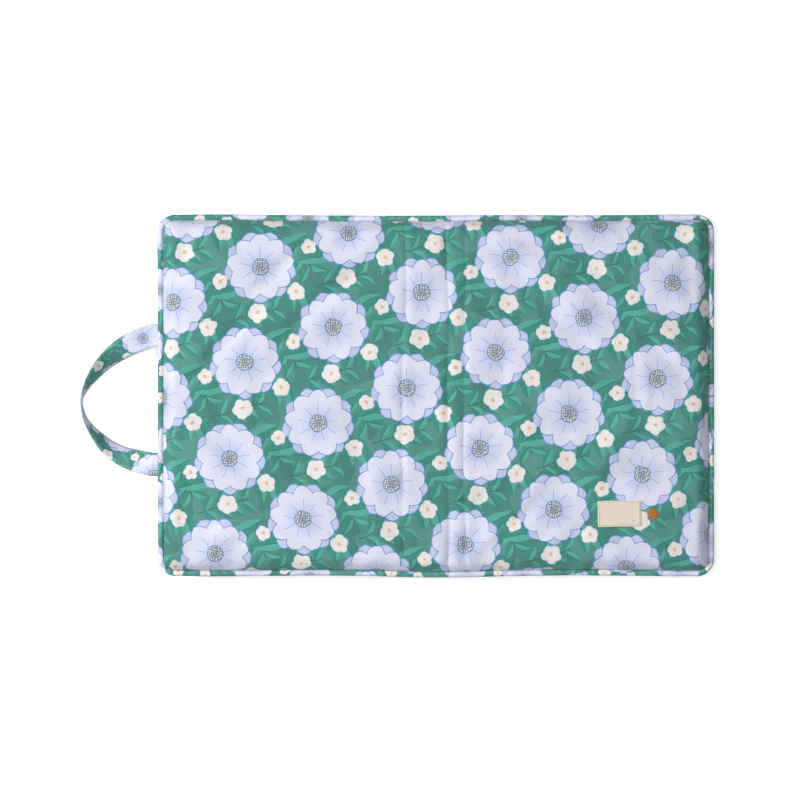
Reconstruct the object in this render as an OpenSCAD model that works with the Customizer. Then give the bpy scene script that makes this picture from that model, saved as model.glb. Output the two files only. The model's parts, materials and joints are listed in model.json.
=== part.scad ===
// Folding kneeling pad: two foam slabs in a piped, boxed fabric cover that folds in half,
// with a carry strap on one short end and a zip in the other.
// Origin: centre of the pad on its resting plane, on the fold line.
// +X runs to the zip end, the strap is on the -X end, +Z is up. Millimetres.

/* [Pad] */
// Length over the piping, along X
pad_len = 450; // [420:5:480]
// Depth over the piping, along Y
pad_depth = 292; // [284:2:320]
// Height of the crowned top at its middle
crown_h = 38; // [36:1:42]
// Corner radius at the outside of the piping
corner_r = 14; // [12:1:18]
// Gap between the two halves at the fold line
fold_gap = 0.3; // [0.2:0.1:0.6]
// Height of the fold axis above the crown
fold_rise = 1; // [0.8:0.1:2]

/* [Cover fabric] */
// Thickness of the top and bottom panels with their lining
panel_t = 1.2; // [1:0.1:1.4]
// Thickness of the side band
band_t = 1.2; // [0.8:0.1:1.4]
// Distance of the band's outer face inside the piping's outermost line
band_in = 3; // [2.8:0.1:3.2]

/* [Piping] */
// Outside diameter of the piping
pipe_d = 5; // [4.4:0.2:5]
// Diameter of the cord in the piping
cord_d = 3.2; // [2.4:0.2:3.2]
// Height of the top piping's centre
top_pipe_z = 27; // [26.5:0.5:28]
// Height of the bottom piping's centre
bottom_pipe_z = 4.5; // [4.5:0.1:5]

/* [Carry strap] */
// Width of the strap
strap_w = 19; // [16:1:20]
// Thickness of the folded strap
strap_t = 2.4; // [1.6:0.2:2.8]
// Thickness of the strap where it is pressed in the seam
tab_t = 2; // [1.6:0.1:2]
// Distance of the strap's swing line outside the piping
swing_out = 4; // [3.6:0.2:5]

/* [Zip] */
// Length of the zip in the end band
zip_len = 252; // [240:2:252]
// Width of the slit that shows the chain
zip_slit = 8.4; // [8.2:0.1:8.8]
// Diameter of each side of the nylon coil
coil_d = 1.8; // [1.6:0.1:1.8]

/* [Label] */
// Width of the label patch
label_w = 35; // [28:1:40]
// Height of the label patch
label_h = 21; // [16:1:24]
// Position of the label's centre along X
label_x = 148; // [130:1:150]
// Position of the label's centre along Y
label_y = -95.5; // [-98:0.5:-80]
// Diameter of the round embroidered dot
dot_d = 9; // [6:1:10]

/* [Hidden] */

cover_col = "mediumseagreen";
band_col = "seagreen";
pipe_col = "lavender";
foam_col = "whitesmoke";
cord_col = "ivory";
metal_col = "silver";
tape_col = "darkslategray";
label_col = "cornsilk";
thread_col = "burlywood";
dot_col = "darkorange";

hx = pad_len / 2;
hy = pad_depth / 2;
half_gap = fold_gap / 2;
big = 2 * pad_len;

// Heights of the band: it fits between the two pipings.
band_z0 = bottom_pipe_z + pipe_d / 2 + 0.3;
band_z1 = top_pipe_z - pipe_d / 2 - 0.2;

// Layers of the crowned top, as [distance in from the piping's outside, share of the rise], and
// for its inside also the depth below that.
rise0 = top_pipe_z + 0.4;
rise = crown_h - rise0;
top_outer = [[5.2, 0], [7, 0.34], [11, 0.62], [17, 0.83], [27, 0.96], [42, 1]];
top_inner = [[6.5, 0, -0.2], [8.2, 0.34, panel_t], [11.7, 0.62, panel_t], [17.5, 0.83, panel_t],
             [27.3, 0.96, panel_t], [42, 1, panel_t]];
foam_top = [[8.6, 0], [10.4, 0.34], [13.5, 0.6], [19, 0.8], [28.5, 0.93], [43, 0.985]];

// Layers of the bottom panel, as [distance in, height].
tray_outer = [[18, 0], [11, 0.7], [7, 2.2], [5.2, bottom_pipe_z]];
tray_inner = [[18.4, panel_t], [11.8, panel_t + 0.7], [8.1, panel_t + 2.2], [7.4, bottom_pipe_z + 0.2]];

// Radius of a contour at a distance in from the piping's outside.
function contour_r(d) = max(corner_r - d, 0.5 * d);

// ---- outlines and half spaces ----

// A round-cornered outline with true arcs, a distance d inside the pad's own.
module outline(d) {
    r = max(corner_r - d, 0.5);
    x = hx - d;
    y = hy - d;
    square([2 * (x - r), 2 * y], center = true);
    square([2 * x, 2 * (y - r)], center = true);
    for (sx = [-1, 1], sy = [-1, 1])
        translate([sx * (x - r), sy * (y - r)]) circle(r = r, $fn = 64);
}

// One layer of a panel from height z0 to z1, for hulls.
module layer(d, z0, z1) {
    r = contour_r(d);
    for (sx = [-1, 1], sy = [-1, 1])
        translate([sx * (hx - d - r), sy * (hy - d - r), z0])
            cylinder(r = r, h = z1 - z0, $fn = 32);
}

// Everything on one side of the fold line: side is -1 or 1, and gap is kept clear on that side.
module half_space(side, gap = half_gap) {
    translate([side > 0 ? gap : -gap - big, -big / 2, -big / 2])
        cube([big, big, big]);
}

module keep_half(side, gap = half_gap) {
    intersection() {
        children();
        half_space(side, gap);
    }
}

// ---- foam ----

module foam_core(side) {
    mid = band_z0 + 2;
    color(foam_col) keep_half(side, 0.5) hull() {
        layer(19, panel_t + 0.4, mid);
        layer(13, panel_t + 1.2, mid);
        layer(9.6, bottom_pipe_z + 0.8, mid);
        layer(8.2, mid, rise0 - panel_t - 2);
        for (l = foam_top)
            layer(l[0], mid, rise0 + l[1] * rise - panel_t - 0.1);
    }
}

// ---- panels ----

module top_panel(side) {
    color(cover_col) keep_half(side) difference() {
        hull() for (l = top_outer) layer(l[0], rise0 - 0.4, rise0 + l[1] * rise);
        hull() for (l = top_inner) layer(l[0], rise0 - 4, rise0 + l[1] * rise - l[2]);
    }
}

module bottom_panel(side) {
    color(cover_col) keep_half(side) difference() {
        hull() for (l = tray_outer) layer(l[0], l[1], bottom_pipe_z + 0.3);
        hull() for (l = tray_inner) layer(l[0], l[1], bottom_pipe_z + 4);
    }
}

// ---- side band ----

module band_ring() {
    difference() {
        linear_extrude(band_z1 - band_z0) outline(band_in);
        translate([0, 0, -1]) linear_extrude(band_z1 - band_z0 + 2) outline(band_in + band_t);
    }
}

module side_band_left() {
    color(band_col) difference() {
        keep_half(-1) translate([0, 0, band_z0]) band_ring();
        for (y = strap_roots)
            translate([-hx - 1, y - strap_w / 2 - 0.4, tab_z - tab_t / 2 - 0.2])
                cube([12, strap_w + 0.8, 12]);
    }
}

module side_band_right() {
    color(band_col) difference() {
        keep_half(1) translate([0, 0, band_z0]) band_ring();
        translate([hx - 12, -zip_len / 2 - 1.2, -1]) cube([24, zip_len + 2.4, 60]);
    }
}

// ---- piping ----

// A run all round the edge, of a ring-shaped section with outside radius ro and inside radius ri.
module piping_run(z, ro, ri) {
    c = corner_r - pipe_d / 2;
    x = hx - corner_r;
    y = hy - corner_r;
    translate([0, 0, z]) {
        for (s = [-1, 1]) {
            translate([-x, s * (y + c), 0]) rotate([0, 90, 0]) pipe(2 * x, ro, ri);
            translate([s * (x + c), -y, 0]) rotate([-90, 0, 0]) pipe(2 * y, ro, ri);
        }
        translate([x, y, 0]) bend(c, ro, ri);
        translate([-x, y, 0]) rotate([0, 0, 90]) bend(c, ro, ri);
        translate([-x, -y, 0]) rotate([0, 0, 180]) bend(c, ro, ri);
        translate([x, -y, 0]) rotate([0, 0, 270]) bend(c, ro, ri);
    }
}

module pipe(len, ro, ri) {
    difference() {
        cylinder(r = ro, h = len, $fn = 32);
        if (ri > 0) translate([0, 0, -1]) cylinder(r = ri, h = len + 2, $fn = 32);
    }
}

module bend(c, ro, ri) {
    rotate_extrude(angle = 90, $fn = 64) translate([c, 0]) difference() {
        circle(r = ro, $fn = 32);
        if (ri > 0) circle(r = ri, $fn = 32);
    }
}

module sleeve(side, z) {
    color(pipe_col) keep_half(side) piping_run(z, pipe_d / 2, cord_d / 2 + 0.1);
}

module filler_cord(side, z) {
    color(cord_col) keep_half(side) piping_run(z, cord_d / 2, 0);
}

// ---- carry strap ----

// The strap's line, as [x, y, height, twist]: x is outwards from the swing line, and the twist
// turns the flat strap onto its edge at the far end of the loop, with its outer edge up.
tab_z = band_z1 - tab_t / 2;
swing_x = -hx - swing_out;
strap_line = [
    [0, 48.5, 0, 0],
    [14, 42.5, 0.18, 16],
    [27, 35, 0.42, 36],
    [39, 26, 0.66, 53],
    [49, 16, 0.85, 66],
    [56, 4.5, 0.97, 80],
    [58.5, -7, 1, 90],
    [56, -18, 1, 90],
    [50, -29, 0.95, 78],
    [41, -40, 0.84, 66],
    [29, -48, 0.64, 54],
    [15.5, -53, 0.34, 34],
    [0, -56, 0, 0]
];
strap_steps = 3;
strap_roots = [strap_line[0][1], strap_line[len(strap_line) - 1][1]];
strap_low = strap_w / 2 + 0.5;

function spline(a, b, c, d, t) =
    0.5 * (2 * b + (c - a) * t + (2 * a - 5 * b + 4 * c - d) * t * t + (3 * b - a - 3 * c + d) * t * t * t);

// Points outside the ends carry the strap straight out of the seam.
strap_pts = concat([[-14, 52, 0, -8]], strap_line, [[-14, -57, 0, -8]]);
strap_n = (len(strap_line) - 1) * strap_steps;

function strap_at(k) =
    let (i = min(floor(k / strap_steps), len(strap_line) - 2),
         t = k / strap_steps - i,
         p = spline(strap_pts[i], strap_pts[i + 1], strap_pts[i + 2], strap_pts[i + 3], t))
    [swing_x - p[0], p[1], tab_z + (strap_low - tab_z) * p[2], min(max(p[3], 0), 90)];

function unit(v) = v / norm(v);
function strap_dir(k) =
    k == 0 ? [-1, 0, 0] :
    k == strap_n ? [1, 0, 0] :
    let (a = strap_at(k - 1), b = strap_at(k + 1)) unit([b[0] - a[0], b[1] - a[1], b[2] - a[2]]);

// The strap's section: a flat bar with eased edges.
strap_section = [
    [-0.5, -0.25], [-0.47, -0.5], [0.47, -0.5], [0.5, -0.25],
    [0.5, 0.25], [0.47, 0.5], [-0.47, 0.5], [-0.5, 0.25]
];

function strap_ring(k) =
    let (p = strap_at(k),
         t = strap_dir(k),
         // horizontal direction out of the loop
         n = unit([t[1], -t[0], 0]),
         w = n * cos(p[3]) + [0, 0, 1] * sin(p[3]),
         w1 = unit(w - t * (w * t)),
         h = cross(w1, t))
    [for (s = strap_section) [p[0], p[1], p[2]] + w1 * s[0] * strap_w + h * s[1] * strap_t];

module handle_strap() {
    m = len(strap_section);
    pts = [for (k = [0 : strap_n]) each strap_ring(k)];
    sides = [for (k = [0 : strap_n - 1], j = [0 : m - 1])
        each [[k * m + j, k * m + (j + 1) % m, (k + 1) * m + (j + 1) % m],
              [k * m + j, (k + 1) * m + (j + 1) % m, (k + 1) * m + j]]];
    caps = [[for (j = [m - 1 : -1 : 0]) j], [for (j = [0 : m - 1]) strap_n * m + j]];
    color(cover_col) polyhedron(points = pts, faces = concat(sides, caps), convexity = 6);
}

// The strap's ends: flat through the seam, then turned down inside the band.
module handle_ends() {
    in0 = band_in + band_t + 0.2;
    color(cover_col) for (y = strap_roots) {
        translate([-hx - 2, y - strap_w / 2, tab_z - tab_t / 2])
            cube([2 + in0 + tab_t, strap_w, tab_t]);
        translate([-hx + in0, y - strap_w / 2, tab_z - 11])
            cube([tab_t, strap_w, 11]);
    }
}

// Two rows of tack stitches on the turned-down ends.
module handle_stitching() {
    x0 = -hx + band_in + band_t + 0.2 + tab_t;
    color(thread_col) for (y = strap_roots, z = [tab_z - 8, tab_z - 4], i = [-3 : 2])
        translate([x0, y + i * 2.8 + 0.4, z]) cube([0.3, 2, 0.5]);
}

// ---- zip ----

zip_z = (band_z0 + band_z1) / 2;
tape_x = hx - band_in - band_t - 0.6;
chain_half = zip_len / 2 - 6;
coil_off = 0.35 + coil_d / 2;
slider_y = chain_half - 7;

module zip_band(z0, z1) {
    color(band_col) translate([hx - band_in - band_t, -zip_len / 2 - 1, z0])
        cube([band_t, zip_len + 2, z1 - z0]);
}

module zip_tapes() {
    color(tape_col) for (s = [-1, 1])
        translate([tape_x - 0.3, -zip_len / 2, s > 0 ? zip_z + 2.3 : zip_z - 7.6])
            cube([0.6, zip_len, 5.3]);
}

module zip_coil() {
    color(tape_col) for (s = [-1, 1])
        translate([tape_x, -chain_half, zip_z + s * coil_off]) rotate([-90, 0, 0])
            cylinder(d = coil_d, h = 2 * chain_half - 0.4, $fn = 24);
}

module zip_stops() {
    color(metal_col) {
        for (s = [-1, 1])
            translate([tape_x - 1.1, chain_half - 0.2, zip_z + s * coil_off - 0.85])
                cube([2.2, 2.4, 1.7]);
        translate([tape_x - 1.1, -chain_half - 3, zip_z - 2.2]) cube([2.2, 2.8, 4.4]);
    }
}

plate_in = 1.3;
plate_t = 1;
pull_x = tape_x + plate_in + plate_t + 0.7;
pull_axis_r = 0.5;

// Outline of the slider seen from outside, in Y and Z.
module slider_outline() {
    polygon([[-5.5, -1.6], [-4, -2.8], [1.5, -3.5], [4.4, -3.5], [5.5, -2.4],
             [5.5, 2.4], [4.4, 3.5], [1.5, 3.5], [-4, 2.8], [-5.5, 1.6]]);
}

// Turns an outline drawn in Y and Z into a plate from x to x + t.
module plate(x, t) {
    translate([x, 0, 0]) rotate([90, 0, 90]) linear_extrude(t) children();
}

module zip_slider() {
    color(metal_col) translate([0, slider_y, zip_z]) {
        plate(tape_x - plate_in - plate_t, plate_t) slider_outline();
        plate(tape_x + plate_in, plate_t) slider_outline();
        // the web between the plates
        translate([tape_x - plate_in - 0.1, 1, -0.2]) cube([2 * plate_in + 0.2, 3, 0.4]);
        // lips that close on the tapes
        for (s = [-1, 1], x = [tape_x - plate_in - 0.1, tape_x + plate_in - 0.5])
            translate([x, -0.5 + 2, s > 0 ? 2.9 : -3.4]) cube([0.6, 3.2, 0.5]);
        // the bail over the pull's pin
        for (y = [-3.1, 2.1])
            translate([tape_x + plate_in + plate_t - 0.1, y, -0.7]) cube([2.1, 1, 1.4]);
        translate([pull_x + 0.75, -3.1, -0.7]) cube([0.75, 6.2, 1.4]);
    }
}

module zip_pull() {
    color(metal_col) translate([0, slider_y, zip_z]) {
        translate([pull_x, 0, -2.5]) cylinder(r = pull_axis_r, h = 5, $fn = 24);
        translate([pull_x - 0.5, 0, 0]) rotate([90, 0, 90]) linear_extrude(1) difference() {
            union() {
                translate([-5, -2.5]) square([5, 5]);
                translate([-19, -3]) square([14.5, 6]);
                translate([-19, 0]) circle(r = 3, $fn = 32);
            }
            translate([-4.6, -1.2]) square([5, 2.4]);
            translate([-19, 0]) circle(r = 1.2, $fn = 24);
        }
    }
}

// ---- label and embroidery ----

module label() {
    color(label_col) translate([label_x - label_w / 2, label_y - label_h / 2, crown_h + 0.05])
        cube([label_w, label_h, 0.5]);
}

module label_stitching() {
    z = crown_h + 0.55;
    nx = floor((label_w - 4) / 3);
    ny = floor((label_h - 4) / 3);
    color(thread_col) translate([label_x, label_y, z]) {
        for (s = [-1, 1], i = [0 : nx - 1])
            translate([(i - nx / 2) * 3 + 0.4, s * (label_h / 2 - 1.2) - 0.2, 0]) cube([2.2, 0.4, 0.3]);
        for (s = [-1, 1], i = [0 : ny - 1])
            translate([s * (label_w / 2 - 1.2) - 0.2, (i - ny / 2) * 3 + 0.4, 0]) cube([0.4, 2.2, 0.3]);
    }
}

// A plain round dot of satin stitch: a thin base, with a lower and narrower layer of padding on it.
module embroidered_dot() {
    color(dot_col) translate([label_x + label_w / 2 + 9.5, label_y, crown_h + 0.05]) {
        cylinder(d = dot_d, h = 0.35, $fn = 64);
        translate([0, 0, 0.35]) cylinder(d1 = dot_d - 0.6, d2 = dot_d - 1.4, h = 0.25, $fn = 64);
    }
}

foam_core(-1);  // foam_core_left
foam_core(1);  // foam_core_right
top_panel(-1);  // top_panel_left
top_panel(1);  // top_panel_right
bottom_panel(-1);  // bottom_panel_left
bottom_panel(1);  // bottom_panel_right
side_band_left();
side_band_right();
sleeve(-1, top_pipe_z);  // top_piping_left
sleeve(1, top_pipe_z);  // top_piping_right
sleeve(-1, bottom_pipe_z);  // bottom_piping_left
sleeve(1, bottom_pipe_z);  // bottom_piping_right
filler_cord(-1, top_pipe_z);  // top_piping_cord_left
filler_cord(1, top_pipe_z);  // top_piping_cord_right
filler_cord(-1, bottom_pipe_z);  // bottom_piping_cord_left
filler_cord(1, bottom_pipe_z);  // bottom_piping_cord_right
handle_strap();
handle_ends();
handle_stitching();
zip_band(zip_z + zip_slit / 2, band_z1);  // zip_band_upper
zip_band(band_z0, zip_z - zip_slit / 2);  // zip_band_lower
zip_tapes();
zip_coil();
zip_stops();
zip_slider();
zip_pull();
label();
label_stitching();
embroidered_dot();
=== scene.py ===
import json
import math

import bmesh
import bpy
import numpy as np
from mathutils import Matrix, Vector


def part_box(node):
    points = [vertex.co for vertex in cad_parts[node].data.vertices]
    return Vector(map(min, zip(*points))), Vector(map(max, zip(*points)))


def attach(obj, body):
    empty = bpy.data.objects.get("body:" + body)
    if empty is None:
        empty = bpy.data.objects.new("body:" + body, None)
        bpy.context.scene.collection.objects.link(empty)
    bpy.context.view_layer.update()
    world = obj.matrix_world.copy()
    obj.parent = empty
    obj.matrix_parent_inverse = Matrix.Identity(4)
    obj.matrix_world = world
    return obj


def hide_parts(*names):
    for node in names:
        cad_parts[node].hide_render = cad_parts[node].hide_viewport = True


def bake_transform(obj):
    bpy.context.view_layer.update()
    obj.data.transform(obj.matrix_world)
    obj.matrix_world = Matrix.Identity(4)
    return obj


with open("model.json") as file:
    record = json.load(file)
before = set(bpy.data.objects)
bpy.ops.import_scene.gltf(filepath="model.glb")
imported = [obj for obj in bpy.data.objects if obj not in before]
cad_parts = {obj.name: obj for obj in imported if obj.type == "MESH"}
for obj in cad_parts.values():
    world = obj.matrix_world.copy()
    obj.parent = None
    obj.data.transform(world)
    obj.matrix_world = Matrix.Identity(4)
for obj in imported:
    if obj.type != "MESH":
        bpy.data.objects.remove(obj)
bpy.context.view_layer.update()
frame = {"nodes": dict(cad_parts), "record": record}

MM = 0.001
scene = bpy.context.scene
record = frame["record"]
rng = np.random.default_rng(41)


# ---------------------------------------------------------------- sizes, most from the frame

def mm_box(node):
    lo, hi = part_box(node)
    return np.array(lo) / MM, np.array(hi) / MM


_top_lo, _top_hi = mm_box("top_panel_right")
_pipe_lo, _pipe_hi = mm_box("top_piping_right")
_pipe_lo2, _pipe_hi2 = mm_box("bottom_piping_right")
_band_lo, _band_hi = mm_box("side_band_left")
HX = float(_pipe_hi[0])
HY = float(_pipe_hi[1])
PIPE_R = float(_pipe_hi[2] - _pipe_lo[2]) / 2
TOP_PIPE_Z = float(_pipe_hi[2] + _pipe_lo[2]) / 2
LOW_PIPE_Z = float(_pipe_hi2[2] + _pipe_lo2[2]) / 2
CROWN = float(_top_hi[2])
BAND_Z0, BAND_Z1 = float(_band_lo[2]), float(_band_hi[2])
CORNER = 14.0
BAND_IN = 3.0
SEAM_IN = 5.2
RISE0 = TOP_PIPE_Z + 0.4
RISE = CROWN - RISE0
LABEL_LO, LABEL_HI = mm_box("label")
DOT_LO, DOT_HI = mm_box("embroidered_dot")
STRIP_HI = mm_box("zip_band_upper")
STRIP_LO = mm_box("zip_band_lower")
ENDS_LO, ENDS_HI = mm_box("handle_ends")


# ---------------------------------------------------------------- node graph helper

class E:
    """A number in a shader graph."""

    def __init__(self, g, s):
        self.g, self.s = g, s

    def __add__(self, o): return self.g.math("ADD", self, o)
    def __radd__(self, o): return self.g.math("ADD", o, self)
    def __sub__(self, o): return self.g.math("SUBTRACT", self, o)
    def __rsub__(self, o): return self.g.math("SUBTRACT", o, self)
    def __mul__(self, o): return self.g.math("MULTIPLY", self, o)
    def __rmul__(self, o): return self.g.math("MULTIPLY", o, self)
    def __truediv__(self, o): return self.g.math("DIVIDE", self, o)
    def __neg__(self): return self.g.math("MULTIPLY", self, -1.0)
    def lt(self, o): return self.g.math("LESS_THAN", self, o)
    def gt(self, o): return self.g.math("GREATER_THAN", self, o)
    def abs(self): return self.g.math("ABSOLUTE", self)
    def sqrt(self): return self.g.math("SQRT", self)
    def sin(self): return self.g.math("SINE", self)
    def cos(self): return self.g.math("COSINE", self)
    def floor(self): return self.g.math("FLOOR", self)
    def pow(self, o): return self.g.math("POWER", self, o)
    def min(self, o): return self.g.math("MINIMUM", self, o)
    def max(self, o): return self.g.math("MAXIMUM", self, o)
    def clamp(self): return self.g.math("ADD", self, 0.0, clamp=True)

    def step(self, lo, hi, a=0.0, b=1.0):
        n = self.g.new("ShaderNodeMapRange", interpolation_type="SMOOTHSTEP")
        for k, v in zip((0, 1, 2, 3, 4), (self, lo, hi, a, b)):
            self.g.put(n.inputs[k], v)
        return E(self.g, n.outputs[0])


class Graph:
    def __init__(self, tree):
        self.tree = tree

    def new(self, kind, **props):
        n = self.tree.nodes.new(kind)
        for k, v in props.items():
            setattr(n, k, v)
        return n

    def put(self, socket, v):
        if isinstance(v, E):
            v = v.s
        if isinstance(v, bpy.types.NodeSocket):
            self.tree.links.new(v, socket)
        elif isinstance(v, (tuple, list)) and len(v) == 3 and len(getattr(socket, "default_value", ())) == 4:
            socket.default_value = (*v, 1.0)
        else:
            socket.default_value = v

    def math(self, op, *args, clamp=False):
        n = self.new("ShaderNodeMath", operation=op, use_clamp=clamp)
        for i, a in enumerate(args):
            self.put(n.inputs[i], a)
        return E(self, n.outputs[0])

    def atan2(self, y, x):
        return self.math("ARCTAN2", y, x)

    def mix(self, fac, a, b, blend="MIX"):
        n = self.new("ShaderNodeMix", data_type="RGBA", blend_type=blend)
        for k, v in ((0, fac), (6, a), (7, b)):
            self.put(n.inputs[k], v)
        return n.outputs[2]

    def noise(self, vector, scale, detail=2.0, rough=0.5):
        n = self.new("ShaderNodeTexNoise")
        self.put(n.inputs["Vector"], vector)
        self.put(n.inputs["Scale"], scale)
        self.put(n.inputs["Detail"], detail)
        self.put(n.inputs["Roughness"], rough)
        return E(self, n.outputs["Fac"])

    def split(self, vector):
        n = self.new("ShaderNodeSeparateXYZ")
        self.put(n.inputs[0], vector)
        return [E(self, o) for o in n.outputs]

    def join(self, x, y, z=0.0):
        n = self.new("ShaderNodeCombineXYZ")
        for k, v in enumerate((x, y, z)):
            self.put(n.inputs[k], v)
        return n.outputs[0]


def rgb(r, g, b):
    """sRGB 0-255 to linear."""
    return tuple(((c / 255 / 12.92) if c <= 10.3 else ((c / 255 + 0.055) / 1.055) ** 2.4) for c in (r, g, b))


# ---------------------------------------------------------------- the print: a plain stock daisy repeat

REP_W, REP_H = 66.0, 78.0
GROUND = rgb(90, 149, 139)
GROUND_D = rgb(77, 136, 127)
LEAF_A = rgb(88, 172, 156)
LEAF_B = rgb(67, 144, 132)
VEIN = rgb(54, 121, 108)
PETAL = rgb(224, 226, 243)
PETAL_IN = rgb(196, 206, 235)
BLUE = rgb(112, 148, 212)
CREAM = rgb(236, 231, 226)
SEED = rgb(168, 178, 178)
SEED_D = rgb(120, 138, 160)
PEACH = rgb(226, 190, 160)


def cell(u, v, cx, cy):
    """Coordinates from the nearest of one motif's places in a half-drop repeat."""
    a = (u - cx) * (1 / REP_W)
    ix = (a + 0.5).floor()
    b = (v - cy) * (1 / REP_H) + ix * 0.5
    return (a - ix) * REP_W, (b - (b + 0.5).floor()) * REP_H


def daisy(g, col, x, y, n, r, turn, fill, line, inner, centre, width=0.92):
    """n plain oval petals round a round centre, painted over col."""
    rr = (x * x + y * y).sqrt()
    a = g.atan2(y, x) + turn
    k = a * (n / (2 * math.pi))
    s = (k - (k + 0.5).floor()) * (2 * math.pi / n)
    px, py = rr * s.cos(), rr * s.sin()
    ax = 0.44 * r
    by = r * math.sin(math.pi / n) * width
    ex, ey = (px - 0.56 * r) * (1 / ax), py * (1 / by)
    e = (ex * ex + ey * ey).sqrt()
    tone = g.mix(rr.step(0.2 * r, 0.72 * r), inner, fill)
    col = g.mix(e.lt(1.0), col, line)
    col = g.mix(e.lt(1.0 - 0.55 / by), col, tone)
    if centre:
        vein = py.abs().lt(0.17) * px.gt(0.28 * r) * px.lt(0.6 * r)
        col = g.mix(vein, col, line)
    if centre:
        col = g.mix(rr.lt(centre + 0.5), col, line)
        col = g.mix(rr.lt(centre), col, SEED_D)
        q = g.new("ShaderNodeTexVoronoi", feature="F1", voronoi_dimensions="2D")
        g.put(q.inputs["Vector"], g.join(x, y))
        g.put(q.inputs["Scale"], 0.52)
        g.put(q.inputs["Randomness"], 0.35)
        seeds = E(g, q.outputs["Distance"]).lt(0.37) * rr.lt(centre - 0.4)
        pale = g.mix(rr.step(0.2 * centre, centre), SEED, CREAM)
        col = g.mix(seeds, col, pale)
    return col


def leaf(g, col, x, y, angle, length, half, a, b, line):
    """A plain almond leaf centred at the origin of x, y."""
    c, s = math.cos(math.radians(angle)), math.sin(math.radians(angle))
    px, py = x * c + y * s, y * c - x * s
    q = px * (2 / length)
    edge = (1.0 - q * q) * half
    col = g.mix(py.abs().lt(edge), col, g.mix(py.gt(0.0), a, b))
    return g.mix(py.abs().lt(edge.min(0.28)), col, line)


def print_group():
    tree = bpy.data.node_groups.new("plain_daisy_repeat", "ShaderNodeTree")
    tree.interface.new_socket("Fabric", in_out="INPUT", socket_type="NodeSocketVector")
    tree.interface.new_socket("Color", in_out="OUTPUT", socket_type="NodeSocketColor")
    g = Graph(tree)
    gin, gout = g.new("NodeGroupInput"), g.new("NodeGroupOutput")
    u, v, _ = g.split(gin.outputs[0])
    # a slight wobble, as in a screen printed line
    wob = g.new("ShaderNodeTexNoise", noise_dimensions="2D")
    g.put(wob.inputs["Vector"], g.join(u, v))
    g.put(wob.inputs["Scale"], 0.11)
    g.put(wob.inputs["Detail"], 1.0)
    wr, wg, _ = g.split(wob.outputs["Color"])
    u = u + (wr - 0.5) * 2.6
    v = v + (wg - 0.5) * 2.6

    col = g.mix(g.noise(g.join(u, v), 0.03, 1.0).gt(0.5), GROUND, GROUND_D)
    # sprigs between the daisies: a stem with paired leaves, folded about its own line
    for cx, cy, turn, n in ((0.0, REP_H / 2, 24.0, 4), (REP_W / 2, REP_H / 4 - 3, -58.0, 3)):
        x, y = cell(u, v, cx, cy)
        c, s = math.cos(math.radians(turn)), math.sin(math.radians(turn))
        px, py = x * c + y * s, (y * c - x * s).abs()
        col = g.mix(py.lt(0.42) * px.abs().lt(n * 5.4), col, VEIN)
        for i in range(n):
            at = (i - (n - 1) / 2) * 10.4
            lx, ly = px - (at + 5.0), py - 6.2
            col = leaf(g, col, lx, ly, 50, 17.0 - 1.6 * abs(i - (n - 1) / 2), 3.5, LEAF_A, LEAF_B, VEIN)
    for cx, cy, turn, length in ((21.0, 23.0, 36.0, 34.0), (-22.0, -24.0, 200.0, 34.0), (-26.0, 20.0, 118.0, 30.0),
                                 (27.0, -18.0, -70.0, 30.0)):
        x, y = cell(u, v, cx, cy)
        col = leaf(g, col, x, y, turn, length, 5.6, LEAF_B, LEAF_A, VEIN)
    x, y = cell(u, v, 0.0, 0.0)
    col = daisy(g, col, x, y, 9, 29.5, 0.0, PETAL_IN, BLUE, PETAL_IN, 0)
    col = daisy(g, col, x, y, 9, 27.5, 0.35, PETAL, BLUE, PETAL_IN, 6.6)
    for cx, cy, turn, r in ((4.0, REP_H / 2 + 2, 0.2, 8.2), (REP_W / 2 - 1, -REP_H / 4 + 4, 0.7, 7.4), (REP_W / 2 + 3, REP_H / 4 + 3, 0.5, 6.4)):
        x, y = cell(u, v, cx, cy)
        col = daisy(g, col, x, y, 5, r, turn, CREAM, PETAL_IN, CREAM, 0, width=0.86)
        rr = (x * x + y * y).sqrt()
        col = g.mix(rr.lt(1.5), col, PEACH)
    g.put(gout.inputs[0], col)
    return tree


PRINT = print_group()


def fabric_vector(g, scale=1000.0):
    """The piece's own flat fabric coordinates, in millimetres."""
    a = g.new("ShaderNodeAttribute", attribute_name="fab")
    m = g.new("ShaderNodeVectorMath", operation="SCALE")
    g.put(m.inputs[0], a.outputs["Vector"])
    g.put(m.inputs["Scale"], scale)
    return m.outputs[0]


def weave(g, vec, pitch, twill=0.0):
    """Height of a plain weave, 0 to 1, from coordinates in millimetres."""
    x, y, _ = g.split(vec)
    a, b = (x + y * twill) * (math.pi / pitch), y * (math.pi / pitch)
    sa, sb = a.sin(), b.sin()
    over = (sa * sb).gt(0.0)
    return over * sa.abs() + (1.0 - over) * sb.abs()


def bump(g, height, distance, strength=1.0, under=None):
    n = g.new("ShaderNodeBump")
    g.put(n.inputs["Height"], height)
    g.put(n.inputs["Distance"], distance)
    g.put(n.inputs["Strength"], strength)
    if under is not None:
        g.put(n.inputs["Normal"], under)
    return n.outputs["Normal"]


def material(name):
    m = bpy.data.materials.new(name)
    m.use_nodes = True
    g = Graph(m.node_tree)
    bsdf = m.node_tree.nodes["Principled BSDF"]
    return m, g, bsdf


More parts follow.
